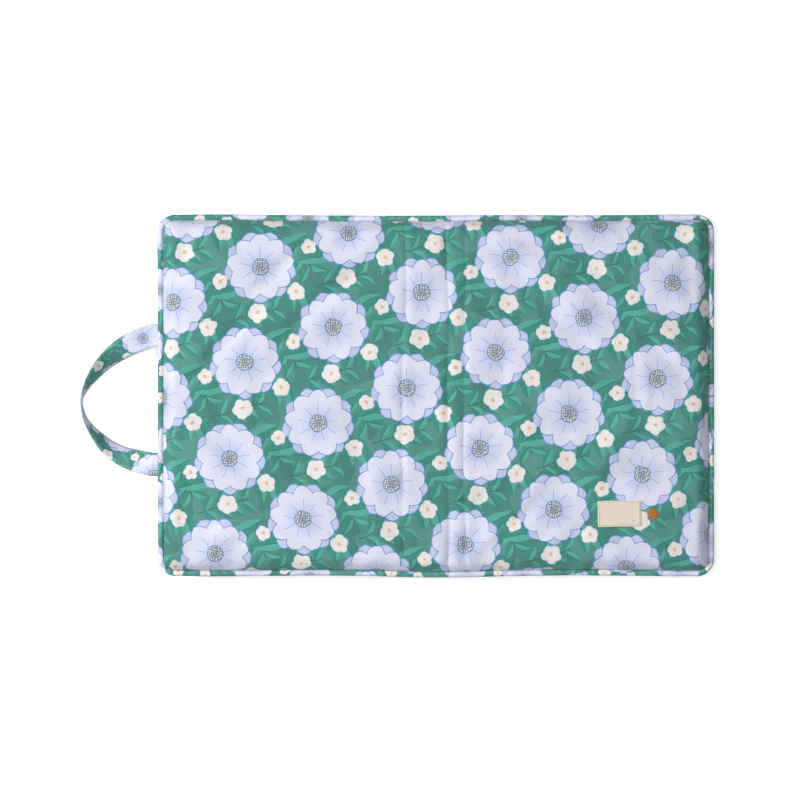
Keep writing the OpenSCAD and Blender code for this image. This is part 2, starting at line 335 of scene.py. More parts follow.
def printed_cotton(name, turn=0.0, shift=(0.0, 0.0), deep=1.0, worn=0.25, size=1.0):
    """Printed cotton canvas: the print, woven threads, slubs, a light sheen and faint wear."""
    m, g, bsdf = material(name)
    vec = fabric_vector(g)
    x, y, z = g.split(vec)
    c, s = math.cos(turn), math.sin(turn)
    pv = g.join((x * c - y * s) * (1.0 / size) + shift[0], (x * s + y * c) * (1.0 / size) + shift[1])
    p = g.new("ShaderNodeGroup", node_tree=PRINT)
    g.put(p.inputs[0], pv)
    col = p.outputs[0]
    slub_u = g.noise(g.join(x * 0.05, y * 2.2), 1.0, 2.0)
    slub_v = g.noise(g.join(x * 2.2, y * 0.05), 1.0, 2.0)
    shade = (slub_u + slub_v) * 0.5
    col = g.mix(shade.step(0.35, 0.65, 0.0, 0.10), col, (1.0, 1.0, 1.0), "MULTIPLY")
    dim = g.noise(vec, 0.022, 2.0).step(0.3, 0.7, 0.93, 1.03) * deep
    hsv = g.new("ShaderNodeHueSaturation")
    g.put(hsv.inputs["Color"], col)
    g.put(hsv.inputs["Value"], dim * (0.95 + shade * 0.1))
    col = hsv.outputs[0]
    geo = g.new("ShaderNodeNewGeometry")
    edge = E(g, geo.outputs["Pointiness"]).step(0.52, 0.6, 0.0, worn) * g.noise(vec, 0.35, 3.0).step(0.45, 0.65)
    col = g.mix(edge, col, rgb(214, 222, 226))
    g.put(bsdf.inputs["Base Color"], col)
    w = weave(g, vec, 0.42)
    g.put(bsdf.inputs["Roughness"], 0.86 - w * 0.12)
    g.put(bsdf.inputs["Sheen Weight"], 0.22)
    g.put(bsdf.inputs["Sheen Roughness"], 0.45)
    g.put(bsdf.inputs["Specular IOR Level"], 0.25)
    soft = bump(g, g.noise(vec, 0.05, 3.0, 0.55), 0.0011, 0.7)
    slub = bump(g, shade, 0.00012, 0.6, soft)
    g.put(bsdf.inputs["Normal"], bump(g, w, 0.00007, 0.5, slub))
    return m


def plain_cloth(name, colour, pitch, rough=0.85, sheen=0.2, vary=0.12, depth=0.00008, twill=0.0, attribute=True, accent=None):
    """Single-colour woven cloth or tape."""
    m, g, bsdf = material(name)
    if attribute:
        vec = fabric_vector(g)
    else:
        t = g.new("ShaderNodeTexCoord")
        k = g.new("ShaderNodeVectorMath", operation="SCALE")
        g.put(k.inputs[0], t.outputs["Object"])
        g.put(k.inputs["Scale"], 1000.0)
        vec = k.outputs[0]
    w = weave(g, vec, pitch, twill)
    n = g.noise(vec, 0.6, 3.0)
    # painted shade and highlight: the cloth is darker in the dips of the weave and lighter on its crests, following the
    # same height that drives the bump, with some random tone from noise
    groove_shade = tuple(c * (1 - 2.2 * vary) for c in colour)
    crest_light = tuple(min(1.0, c * (1 + vary)) for c in colour)
    col = g.mix((w * 0.6 + n * 0.4).step(0.15, 0.85), groove_shade, crest_light)
    if accent:
        x, y, _ = g.split(vec)
        col = g.mix(((y * accent[1]).sin().gt(accent[2])) * 1.0, col, accent[0])
    g.put(bsdf.inputs["Base Color"], col)
    g.put(bsdf.inputs["Roughness"], rough - 0.1 * w)
    g.put(bsdf.inputs["Sheen Weight"], sheen)
    g.put(bsdf.inputs["Specular IOR Level"], 0.25)
    g.put(bsdf.inputs["Normal"], bump(g, w, depth, 0.8, bump(g, n, 0.0002, 0.4)))
    return m


def thread_material(name, colour, pitch=0.35):
    m, g, bsdf = material(name)
    vec = fabric_vector(g)
    x, y, _ = g.split(vec)
    ply = ((x + y * 0.9) * (2 * math.pi / pitch)).sin() * 0.5 + 0.5
    n = g.noise(vec, 1.4, 2.0)
    # painted shade and highlight: the thread is darker in the grooves between its plies and lighter on their crests,
    # following the same height as the bump, with some random tone from noise
    groove_shade = tuple(c * 0.68 for c in colour)
    g.put(bsdf.inputs["Base Color"], g.mix((ply * 0.7 + n * 0.3).step(0.1, 0.8), groove_shade, colour))
    g.put(bsdf.inputs["Roughness"], 0.62 - ply * 0.15)
    g.put(bsdf.inputs["Sheen Weight"], 0.3)
    g.put(bsdf.inputs["Normal"], bump(g, ply, 0.00006, 0.7))
    return m


def metal_material(name, colour):
    """Plated zinc: fine tumbling marks, a little tarnish away from the edges, brighter worn edges."""
    m, g, bsdf = material(name)
    t = g.new("ShaderNodeTexCoord")
    k = g.new("ShaderNodeVectorMath", operation="SCALE")
    g.put(k.inputs[0], t.outputs["Object"])
    g.put(k.inputs["Scale"], 1000.0)
    x, y, z = g.split(k.outputs[0])
    marks = g.noise(g.join(x * 3.0, y * 1.1, z * 9.0), 1.3, 4.0)
    tarnish = g.noise(k.outputs[0], 0.22, 2.0)
    geo = g.new("ShaderNodeNewGeometry")
    edge = E(g, geo.outputs["Pointiness"]).step(0.52, 0.62)
    col = g.mix(tarnish.step(0.35, 0.7, 0.0, 0.55), colour, tuple(c * 0.72 for c in colour))
    g.put(bsdf.inputs["Base Color"], g.mix(edge * 0.6, col, tuple(min(1.0, c * 1.3) for c in colour)))
    g.put(bsdf.inputs["Metallic"], 1.0)
    g.put(bsdf.inputs["Roughness"], marks.step(0.25, 0.75, 0.24, 0.36))
    g.put(bsdf.inputs["Normal"], bump(g, marks, 0.00002, 0.35))
    return m


def foam_material(name):
    m, g, bsdf = material(name)
    vec = fabric_vector(g)
    q = g.new("ShaderNodeTexVoronoi", feature="F1")
    g.put(q.inputs["Vector"], vec)
    g.put(q.inputs["Scale"], 1.1)
    pores = E(g, q.outputs["Distance"])
    n = g.noise(vec, 0.12, 3.0)
    # painted shade: the foam is darker in the middle of each pore, where the bump dips, and paler on the cell walls,
    # with some random tone from noise
    g.put(bsdf.inputs["Base Color"], g.mix((pores * 0.7 + n * 0.5).step(0.2, 0.9), rgb(222, 220, 206), rgb(242, 241, 232)))
    g.put(bsdf.inputs["Roughness"], 0.9 - pores * 0.1)
    g.put(bsdf.inputs["Normal"], bump(g, pores, 0.0004, 0.6))
    return m


COVER = printed_cotton("cover_print", turn=math.radians(9), shift=(24.0, -2.0), deep=0.95)
UNDER = printed_cotton("cover_print_under", turn=math.radians(9), shift=(-24.0, 15.0), deep=0.97)
BANDED = printed_cotton("band_print", turn=math.radians(90), shift=(5.0, 31.0), deep=0.96)
PIPED = printed_cotton("piping_print", turn=math.radians(45), shift=(3.0, 12.0), worn=0.4, size=0.62)
STRAPPED = printed_cotton("strap_print", turn=math.radians(-3), shift=(-42.0, 2.0), worn=0.35, size=0.62)
CORD = plain_cloth("piping_filler", rgb(236, 232, 220), 1.1, vary=0.1, depth=0.0003, twill=1.2)
TAPE = plain_cloth("zip_tape_weave", rgb(86, 140, 128), 0.6, vary=0.15, twill=0.5)
LABEL = plain_cloth("label_weave", rgb(233, 222, 202), 0.5, sheen=0.3, vary=0.06)
THREAD = thread_material("cover_thread", rgb(190, 206, 214))
LABEL_THREAD = thread_material("label_thread", rgb(186, 160, 118))
FLOSS = thread_material("embroidery_floss", rgb(190, 116, 44), 0.5)
METAL = metal_material("zip_nickel", (0.50, 0.505, 0.50))
FOAM = foam_material("closed_cell_foam")


def nylon_material(name, colour):
    m, g, bsdf = material(name)
    vec = fabric_vector(g)
    n = g.noise(vec, 1.2, 2.0)
    g.put(bsdf.inputs["Base Color"], g.mix(n.step(0.3, 0.7), tuple(c * 0.8 for c in colour), colour))
    g.put(bsdf.inputs["Roughness"], n.step(0.2, 0.8, 0.28, 0.42))
    g.put(bsdf.inputs["Normal"], bump(g, n, 0.00005, 0.4))
    return m


NYLON = nylon_material("zip_nylon_coil", rgb(96, 152, 140))


# ---------------------------------------------------------------- mesh helpers

def make(name, verts, faces, mat, fab=None, smooth=True):
    """A piece from points in millimetres. fab is each point's flat fabric coordinate, in millimetres."""
    verts = np.asarray(verts, float)
    me = bpy.data.meshes.new(name)
    me.from_pydata([tuple(v) for v in verts * MM], [], [tuple(int(i) for i in f) for f in faces])
    me.validate()
    me.update()
    if smooth:
        me.shade_smooth()
    set_fab(me, verts if fab is None else fab)
    ob = bpy.data.objects.new(name, me)
    scene.collection.objects.link(ob)
    me.materials.append(mat)
    return ob


def outward(ob):
    """Turns every closed shell's faces outwards."""
    bm = bmesh.new()
    bm.from_mesh(ob.data)
    bmesh.ops.recalc_face_normals(bm, faces=bm.faces)
    bm.to_mesh(ob.data)
    bm.free()
    return ob


def set_fab(me, fab):
    fab = np.asarray(fab, float)
    if fab.shape[1] == 2:
        fab = np.hstack([fab, np.zeros((len(fab), 1))])
    a = me.attributes.get("fab") or me.attributes.new("fab", "FLOAT_VECTOR", "POINT")
    a.data.foreach_set("vector", (fab * MM).astype(np.float32).ravel())


def points(ob):
    co = np.empty(len(ob.data.vertices) * 3, np.float32)
    ob.data.vertices.foreach_get("co", co)
    return co.reshape(-1, 3).astype(float) / MM


def put_points(ob, co):
    ob.data.vertices.foreach_set("co", (np.asarray(co) * MM).astype(np.float32).ravel())
    ob.data.update()


def bake_modifiers(ob):
    """Applies the object's modifiers into its mesh."""
    dg = bpy.context.evaluated_depsgraph_get()
    me = bpy.data.meshes.new_from_object(ob.evaluated_get(dg), preserve_all_data_layers=True, depsgraph=dg)
    old = ob.data
    ob.modifiers.clear()
    ob.data = me
    if not me.materials:
        for m in old.materials:
            me.materials.append(m)
    return ob


def thicken(ob, mm, inward=True):
    s = ob.modifiers.new("thick", "SOLIDIFY")
    s.thickness = mm * MM
    s.offset = -1.0 if inward else 1.0
    return bake_modifiers(ob)


def ripple(x, y, seed, scale, octaves=3):
    """Smooth noise made of a few seeded waves, about -1 to 1, for arrays in millimetres."""
    r = np.random.default_rng(seed)
    out = np.zeros_like(np.asarray(x, float))
    amp, total = 1.0, 0.0
    for o in range(octaves):
        for _ in range(5):
            a = r.uniform(0, 2 * math.pi)
            f = 2 * math.pi / (scale / 1.9 ** o) * r.uniform(0.7, 1.35)
            out += amp * np.sin(f * (x * math.cos(a) + y * math.sin(a)) + r.uniform(0, 2 * math.pi)) / 5 ** 0.5
        total += amp
        amp *= 0.5
    return out / total


def sm(t):
    t = np.clip(t, 0, 1)
    return t * t * (3 - 2 * t)


def soften(co):
    """The outline isn't dead straight: one long edge bows out a little by the fold and the other dips in.
    The same move is made on every piece of the cover, so they stay together."""
    co = np.array(co, float)
    x, y = co[:, 0], co[:, 1]
    w = np.exp(-((x + 6) / 52) ** 2)
    edge = sm((np.abs(y) - 60) / 80)
    co[:, 1] += np.where(y < 0, -1.0, -0.8) * w * edge
    co[:, 1] += 0.35 * np.sin(x / 31.0 + 1.0) * edge * np.sign(y) * sm((np.abs(y) - 90) / 50)
    ex = sm((np.abs(x) - 150) / 60) * np.where(x > 0, 0.0, 1.0)
    co[:, 0] += 0.3 * np.sin(y / 27.0) * ex * sm((np.abs(y) - 75) / 30)
    return co


def rim(inset, spacing, radius=None):
    """Points of the pad's outline at an inset, counter-clockwise from the +X end's middle: (points, outward normals, run)."""
    r = max(CORNER - inset, 0.5) if radius is None else radius
    x, y = HX - inset, HY - inset
    pts, nor = [], []

    def line(a, b, n):
        k = max(2, int(round(math.dist(a, b) / spacing)))
        for i in range(k):
            t = i / k
            pts.append((a[0] + (b[0] - a[0]) * t, a[1] + (b[1] - a[1]) * t))
            nor.append(n)

    def arc(cx, cy, a0):
        k = max(8, int(round(r * math.pi / 2 / spacing)))
        for i in range(k):
            a = a0 + math.pi / 2 * i / k
            pts.append((cx + r * math.cos(a), cy + r * math.sin(a)))
            nor.append((math.cos(a), math.sin(a)))

    line((x, 0), (x, y - r), (1, 0))
    arc(x - r, y - r, 0)
    line((x - r, y), (-x + r, y), (0, 1))
    arc(-x + r, y - r, math.pi / 2)
    line((-x, y - r), (-x, -y + r), (-1, 0))
    arc(-x + r, -y + r, math.pi)
    line((-x + r, -y), (x - r, -y), (0, -1))
    arc(x - r, -y + r, 1.5 * math.pi)
    line((x, -y + r), (x, 0), (1, 0))
    pts, nor = np.array(pts), np.array(nor)
    run = np.concatenate([[0], np.cumsum(np.linalg.norm(np.diff(pts, axis=0), axis=1))])
    return pts, nor, run


def grid_faces(nu, nv, loop_u=False, loop_v=False):
    faces = []
    for i in range(nu if loop_u else nu - 1):
        for j in range(nv if loop_v else nv - 1):
            a, b = i, (i + 1) % nu
            c, d = j, (j + 1) % nv
            faces.append((a * nv + c, b * nv + c, b * nv + d, a * nv + d))
    return faces


def rounded_grid(inset, step):
    """A grid of quads filling the outline at an inset, its corners bent into true rounds: (xy, nx, ny)."""
    r = max(CORNER - inset, 0.5)
    x, y = HX - inset, HY - inset
    nx, ny = int(round(2 * x / step)) + 1, int(round(2 * y / step)) + 1
    gx, gy = np.meshgrid(np.linspace(-x, x, nx), np.linspace(-y, y, ny), indexing="ij")
    ox, oy = np.abs(gx.ravel()), np.abs(gy.ravel())
    a, b = (ox - (x - r)) / r, (oy - (y - r)) / r
    zone = (a > 0) & (b > 0)
    a, b = np.where(zone, a, 0), np.where(zone, b, 0)
    ox = np.where(zone, x - r + r * a * np.sqrt(1 - b * b / 2), ox)
    oy = np.where(zone, y - r + r * b * np.sqrt(1 - a * a / 2), oy)
    return np.column_stack([np.sign(gx.ravel()) * ox, np.sign(gy.ravel()) * oy]), nx, ny


def edge_loop(nx, ny):
    """Indices round a grid's edge, in order."""
    return ([i * ny for i in range(nx)] + [(nx - 1) * ny + j for j in range(1, ny)]
            + [i * ny + ny - 1 for i in range(nx - 2, -1, -1)] + list(range(ny - 2, 0, -1)))


def turned_in(co, fab, faces, nx, ny, steps):
    """Adds the seam allowance: the edge turned in by the piping. steps are (inwards, down) in millimetres."""
    co, fab, faces = np.asarray(co, float), np.asarray(fab, float), list(faces)
    loop = edge_loop(nx, ny)
    rimmed = co[loop]
    nxt, prv = np.roll(rimmed, -1, axis=0), np.roll(rimmed, 1, axis=0)
    t = (nxt - prv)[:, :2]
    t /= np.maximum(np.linalg.norm(t, axis=1)[:, None], 1e-9)
    inward = np.column_stack([-t[:, 1], t[:, 0]])
    prev, n = loop, len(loop)
    run = 0.0
    for inn, down in steps:
        start = len(co)
        run += 1.0
        co = np.vstack([co, np.column_stack([rimmed[:, :2] + inward * inn, rimmed[:, 2] - down])])
        fab = np.vstack([fab, fab[loop] - inward * run])
        now = list(range(start, start + n))
        for q in range(n):
            faces.append((prev[(q + 1) % n], prev[q], now[q], now[(q + 1) % n]))
        prev = now
    return co, fab, faces


def inset_of(xy):
    """How far inside the pad's outline each point is."""
    qx, qy = np.abs(xy[:, 0]) - (HX - CORNER), np.abs(xy[:, 1]) - (HY - CORNER)
    outside = np.hypot(np.maximum(qx, 0), np.maximum(qy, 0)) + np.minimum(np.maximum(qx, qy), 0)
    return CORNER - outside


def share(d, table):
    t = np.array(table, float)
    # a smooth curve through the CAD profile's points
    xs = np.linspace(t[0, 0], t[-1, 0], 240)
    ys = np.interp(xs, t[:, 0], t[:, 1])
    k = np.exp(-((np.arange(-16, 17)) / 7.0) ** 2)
    pad = np.concatenate([2 * ys[0] - ys[16:0:-1], ys, 2 * ys[-1] - ys[-2:-18:-1]])
    ys = np.convolve(pad, k / k.sum(), "valid")
    ys[0] = t[0, 1]
    return np.interp(d, xs, ys)


TOP_IN = 4.62
# the panel rolls over the foam's edge in a short round, then crowns a little further
TOP_PROFILE = [[TOP_IN + t, 0.10 + 0.83 * (1 - (1 - min(t / 13.0, 1.0)) ** 2.3) + 0.07 * math.sin(math.pi / 2 * min(t / 36.0, 1.0))]
               for t in [0.5 * i for i in range(75)]]
CREASES = ((-26.0, 1.35, 3.0, 0.011, 3), (10.0, 2.0, 3.2, -0.006, 7), (23.0, 1.1, 2.8, 0.004, 11), (55.0, 0.6, 4.2, 0.012, 17),
           (-62.0, 0.3, 6.0, -0.01, 23))


def crease_line(y, x0, lean, seed):
    return x0 + lean * y + 1.6 * ripple(y, y * 0, seed, 170, 2)


def crease_depth(x, y, sharp=True):
    """Soft valleys left across the pad by folding it. The deep ones have a sharper line along the bottom that comes and goes."""
    z = np.zeros_like(x)
    for x0, depth, width, lean, seed in CREASES:
        q = (x - crease_line(y, x0, lean, seed)) / width
        strength = 0.72 + 0.28 * ripple(y, y * 0, seed + 1, 120, 2)
        valley = np.exp(-q * q)
        if sharp and depth > 1:
            line = 0.22 + 0.20 * ripple(y, y * 0, seed + 2, 64, 2)
            valley = valley * (1 - line) + line * 1.25 * np.exp(-(q / 0.36) ** 2)
        z -= depth * strength * (valley - 0.22 * np.exp(-((q - 1.7) / 1.3) ** 2))
    return z


def crowd(x, y):
    """Draws a grid's columns in towards the deep creases, so that their lines are sharp."""
    for x0, depth, width, lean, seed in CREASES:
        if depth > 1:
            u = x - crease_line(y, x0, lean, seed)
            x = x - 0.62 * u * np.exp(-(u / 6.5) ** 2)
    return x


# ---------------------------------------------------------------- padded top, by cloth simulation

def cloth_top(step=4.6):
    """The top panel's fabric as a cloth pinned at its seam and blown up from inside. Returns its grid and how far each point moved up from the plain crown."""
    xy, nx, ny = rounded_grid(TOP_IN, step)
    d = inset_of(xy)
    z = RISE0 + RISE * share(d, TOP_PROFILE) * 0.94
    verts = np.column_stack([xy, z])
    ob = make("cloth_work", verts, grid_faces(nx, ny), COVER)
    before = points(ob)
    pin = ob.vertex_groups.new(name="seam")
    edge = np.zeros((nx, ny), bool)
    edge[[0, -1], :] = True
    edge[:, [0, -1]] = True
    pin.add([int(i) for i in np.nonzero(edge.ravel())[0]], 1.0, "REPLACE")
    m = ob.modifiers.new("cloth", "CLOTH")
    s = m.settings
    s.quality = 5
    s.mass = 0.3
    s.vertex_group_mass = "seam"
    s.tension_stiffness = s.compression_stiffness = 22
    s.shear_stiffness = 12
    s.bending_stiffness = 0.35
    s.shrink_min = -0.02
    s.use_pressure = True
    s.uniform_pressure_force = 1.5
    s.effector_weights.gravity = 0.0
    m.collision_settings.use_collision = False
    m.point_cache.frame_start, m.point_cache.frame_end = 1, 20
    scene.frame_start, scene.frame_end = 1, 20
    for f in range(1, 21):
        scene.frame_set(f)
        bpy.context.view_layer.update()
    bake_modifiers(ob)
    after = points(ob)
    scene.frame_set(1)
    moved = after - before
    bpy.data.objects.remove(ob)
    return xy, nx, ny, moved


def smooth_grid(a, nx, ny, times):
    a = a.reshape(nx, ny).copy()
    for _ in range(times):
        p = np.pad(a, 1, mode="edge")
        a = (p[1:-1, 1:-1] * 2 + p[:-2, 1:-1] + p[2:, 1:-1] + p[1:-1, :-2] + p[1:-1, 2:]) / 6
    return a.ravel()


xy, gnx, gny, moved = cloth_top()
dz = moved[:, 2]
print("cloth moved up, mm: mean %.2f max %.2f min %.2f sd %.2f" % (dz.mean(), dz.max(), dz.min(), dz.std()))
wrinkle = dz - smooth_grid(dz, gnx, gny, 14)
wrinkle = np.clip(smooth_grid(wrinkle, gnx, gny, 1), -1.6, 1.6)
slide = np.clip(moved[:, :2], -1.2, 1.2)


def upsample(a, factor):
    """A grid at factor times as many steps, by a cubic through the points."""
    def along(q):
        n = q.shape[0]
        t = np.linspace(0, n - 1, (n - 1) * factor + 1)
        i = np.clip(np.floor(t).astype(int), 0, n - 2)
        f = (t - i)[:, None]
        p = np.pad(q, ((1, 1), (0, 0)), mode="reflect", reflect_type="odd")
        p0, p1, p2, p3 = p[i], p[i + 1], p[i + 2], p[i + 3]
        return 0.5 * (2 * p1 + (p2 - p0) * f + (2 * p0 - 5 * p1 + 4 * p2 - p3) * f ** 2 + (3 * p1 - p0 - 3 * p2 + p3) * f ** 3)
    return along(along(a).T).T


UP = 3
fine_w = upsample(wrinkle.reshape(gnx, gny), UP)
fx = upsample(xy[:, 0].reshape(gnx, gny), UP)
fy = upsample(xy[:, 1].reshape(gnx, gny), UP)
sx = upsample(slide[:, 0].reshape(gnx, gny), UP)
sy = upsample(slide[:, 1].reshape(gnx, gny), UP)
nx, ny = fx.shape
fx = crowd(fx, fy)
top_xy = np.column_stack([fx.ravel(), fy.ravel()])
d = np.maximum(inset_of(top_xy), TOP_IN)
x, y = top_xy.T
# gathers that run in from the piping, where the panel is eased on to the seam
on_x = (HY - np.abs(y)) < (HX - np.abs(x))
along = np.where(on_x, x, y)
pucker = ripple(along, along * 0, 5, 26, 3) * np.exp(-((d - 9.0) / 6.0) ** 2) * 0.55
pucker += ripple(along, d * 2.2, 6, 60, 2) * np.exp(-((d - 17.0) / 9.0) ** 2) * 0.35
near_label = np.maximum(
    sm(1 - (np.hypot(np.maximum(np.abs(x - (LABEL_LO[0] + LABEL_HI[0]) / 2) - 19, 0), np.maximum(np.abs(y - (LABEL_LO[1] + LABEL_HI[1]) / 2) - 12, 0)) / 16)),
    sm(1 - (np.hypot(x - (DOT_LO[0] + DOT_HI[0]) / 2, y - (DOT_LO[1] + DOT_HI[1]) / 2) - 5) / 14))
plain = RISE0 + RISE * share(d, TOP_PROFILE)
waves = 0.30 * ripple(x, y, 31, 120, 2) * sm((d - 10) / 30)
creases = crease_depth(x, y) * sm((d - TOP_IN) / 9)
edge_fade = sm((d - TOP_IN) / 2.5)
z = plain + (fine_w.ravel() * 0.9 + pucker + waves) * edge_fade * (1 - near_label) + creases * (1 - 0.9 * near_label)
z = np.where(near_label > 0.02, np.minimum(z, CROWN - 0.02 + (1 - near_label) * 0.6), z)
z = np.minimum(z, 38.85)
top_co = np.column_stack([x + sx.ravel() * 0.25 * edge_fade * (1 - near_label), y + sy.ravel() * 0.25 * edge_fade * (1 - near_label), z])
# the print follows the cloth down the slope: its run is measured along the surface
table_d = np.linspace(TOP_IN, 42, 160)
table_run = np.concatenate([[0], np.cumsum(np.hypot(np.diff(table_d), np.diff(RISE * share(table_d, TOP_PROFILE))))])
extra = (table_run[-1] - np.interp(d, table_d, table_run)) - (42 - np.minimum(d, 42))
fab = np.column_stack([x, y])
fab[:, 0] += np.where(on_x, 0, np.sign(x) * extra)
fab[:, 1] += np.where(on_x, np.sign(y) * extra, 0)
skin, skin_fab, skin_faces = turned_in(top_co, fab, grid_faces(nx, ny), nx, ny, ((0.45, 0.9), (0.72, 2.2)))
top = make("top_panel", soften(skin), skin_faces, COVER, skin_fab)
thicken(top, 1.0)

# ---------------------------------------------------------------- underside

TRAY = [[SEAM_IN, LOW_PIPE_Z], [7, 2.2], [11, 0.7], [18, 0.0]]
bx, bnx, bny = rounded_grid(SEAM_IN, 3.0)
d = np.maximum(inset_of(bx), SEAM_IN)
x, y = bx.T
bz = np.interp(d, [t[0] for t in TRAY], [t[1] for t in TRAY])
on_x = (HY - np.abs(y)) < (HX - np.abs(x))
along = np.where(on_x, x, y)
bz = bz + np.maximum(0, 0.5 * ripple(along, along * 0, 8, 30, 3) * np.exp(-((d - 9.5) / 5.0) ** 2))
# shallow valleys under the fold, which lift off the floor
lift = -0.55 * np.minimum(crease_depth(x * 1.0 + 2, y, False), 0) * sm((d - 8) / 20)
bz = np.maximum(bz, 0) + lift * 0.8 + 0.12 * np.maximum(0, ripple(x, y, 12, 70, 2)) * sm((d - 18) / 20)
skin, skin_fab, skin_faces = turned_in(np.column_stack([x, y, np.maximum(bz, 0.0)]), bx, grid_faces(bnx, bny), bnx, bny, ((0.15, -0.9), (0.5, -2.0)))
bottom = make("bottom_panel", soften(skin), [f[::-1] for f in skin_faces], UNDER, skin_fab)
thicken(bottom, 1.0)


# ---------------------------------------------------------------- piping

def piping(name, zc, seed, mat):
    pts, nor, run = rim(PIPE_R, 1.6)
    n, m = len(pts), 18
    total = run[-1] + 1.6
    rad = PIPE_R * (1.0 + 0.020 * ripple(run * 1.0, run * 0, seed, 21, 3))
    verts, fab = [], []
    # the bias strip's two ends lap over each other near the middle of one long edge
    lap = np.exp(-((run - 0.62 * total) / 7.0) ** 2)
    for i in range(n):
        for j in range(m):
            a = 2 * math.pi * j / m
            r = rad[i] * (1 + 0.02 * math.sin(a * 2 + run[i] * 0.12) + 0.045 * lap[i])
            # drawn in towards the seam, as the strip's two edges meet there
            seam = max(0.0, -math.cos(a)) ** 3
            h, v = math.cos(a) * r, math.sin(a) * r * (1 - 0.18 * seam)
            verts.append((pts[i][0] + nor[i][0] * h, pts[i][1] + nor[i][1] * h, zc + v))
            fab.append((run[i], a * PIPE_R * 1.0))
    ob = make(name, soften(verts), grid_faces(n, m, True, True), mat, fab)
    return ob


top_pipe = piping("top_piping", TOP_PIPE_Z, 51, PIPED)
low_pipe = piping("bottom_piping", LOW_PIPE_Z, 57, PIPED)


def stitches(name, items, mat, r=0.24, up=(0, 0, 1), sink=0.45):
    """Each stitch is a short thread that dips into the cloth at both ends."""
    verts, faces, fab = [], [], []
    m, k = 6, 5
    for a, b, *rest in items:
        a, b = np.asarray(a, float), np.asarray(b, float)
        n = np.asarray(rest[0] if rest else up, float)
        t = (b - a) / max(np.linalg.norm(b - a), 1e-9)
        side = np.cross(n, t)
        side /= max(np.linalg.norm(side), 1e-9)
        base = len(verts)
        for i in range(k):
            f = i / (k - 1)
            c = a + (b - a) * f + n * (r * (math.sin(math.pi * f) * (1 + sink) - sink))
            w = r * (0.55 + 0.45 * math.sin(math.pi * f))
            for j in range(m):
                q = 2 * math.pi * j / m
                verts.append(c + side * math.cos(q) * w + n * math.sin(q) * w * 0.8)
                fab.append((f * np.linalg.norm(b - a) + base * 0.37, q * w, 0))
        for i in range(k - 1):
            for j in range(m):
                p, q = base + i * m + j, base + i * m + (j + 1) % m
                faces.append((p, p + m, q + m, q))
        faces.append([base + j for j in range(m)])
        faces.append([base + (k - 1) * m + j for j in reversed(range(m))])
    return outward(make(name, verts, faces, mat, fab))


# ---------------------------------------------------------------- side band

def band():
    pts, nor, run = rim(BAND_IN, 1.8)
    open_half = (STRIP_HI[1][1] - STRIP_HI[0][1]) / 2 + 0.2
    keep = ~((pts[:, 0] > HX - BAND_IN - 0.1) & (np.abs(pts[:, 1]) < open_half))
    idx = np.nonzero(keep)[0]
    pts, nor, run = pts[idx], nor[idx], run[idx]
    first = np.array([[HX - BAND_IN, open_half]])
    last = np.array([[HX - BAND_IN, -open_half]])
    pts = np.vstack([first, pts, last])
    nor = np.vstack([[1, 0], nor, [1, 0]])
    run = np.concatenate([[run[0] - (pts[1][1] - open_half)], run, [run[-1] + 1.0]])
    rows = 11
    verts, fab = [], []
    for i in range(len(pts)):
        x, y = pts[i]
        top_z = BAND_Z1 + 0.15
        if x < -HX + 12:
            for lo, hi in ROOTS:
                q = 1 - sm((abs(y - (lo + hi) / 2) - (hi - lo) / 2 - 0.4) / 4.0)
                top_z = min(top_z, BAND_Z1 + 0.15 - (2.4 + 0.15) * q)
        low_z = BAND_Z0 - 0.15
        puff = 1.0 + 0.4 * ripple(np.array([run[i]]), np.array([0.0]), 61, 44, 3)[0]
        for j in range(rows):
            t = j / (rows - 1)
            zz = low_z + (top_z - low_z) * t
            out = 0.95 * math.sin(math.pi * t) ** 0.8 * puff
            out += 0.28 * math.sin(math.pi * t) * ripple(np.array([run[i]]), np.array([zz * 1.6]), 67, 24, 2)[0]
            out = max(min(out, 2.2), -0.1)
            if x > HX - 10:
                out *= 0.25 + 0.75 * min(1.0, max(0.0, (abs(y) - open_half) / 10))
            verts.append((x + nor[i][0] * out, y + nor[i][1] * out, zz))
            fab.append((run[i], zz))
    ob = make("side_band", soften(verts), grid_faces(len(pts), rows), BANDED, fab)
    return thicken(ob, 1.1)


ROOTS = []
for yc in (48.5, -56.0):
    ROOTS.append((yc - 9.5, yc + 9.5))
side = band()


# ---------------------------------------------------------------- foam and filler cords

def lowest_near(a, reach):
    """For each point of a grid, the lowest value within reach steps of it."""
    out = a.copy()
    for _ in range(reach):
        p = np.pad(out, 1, mode="edge")
        out = np.min([p[1:-1, 1:-1], p[:-2, 1:-1], p[2:, 1:-1], p[1:-1, :-2], p[1:-1, 2:]], axis=0)
    return out


COVER_LOW = lowest_near(top_co[:, 2].reshape(nx, ny), 3)


def under_cover(x, y):
    """The cover's height over a point, taken at its lowest close by."""
    X, Y = HX - TOP_IN, HY - TOP_IN
    u = np.clip((x + X) / (2 * X) * (nx - 1), 0, nx - 1.001)
    v = np.clip((y + Y) / (2 * Y) * (ny - 1), 0, ny - 1.001)
    i, j = u.astype(int), v.astype(int)
    f, g = u - i, v - j
    c = COVER_LOW
    return (c[i, j] * (1 - f) + c[i + 1, j] * f) * (1 - g) + (c[i, j + 1] * (1 - f) + c[i + 1, j + 1] * f) * g


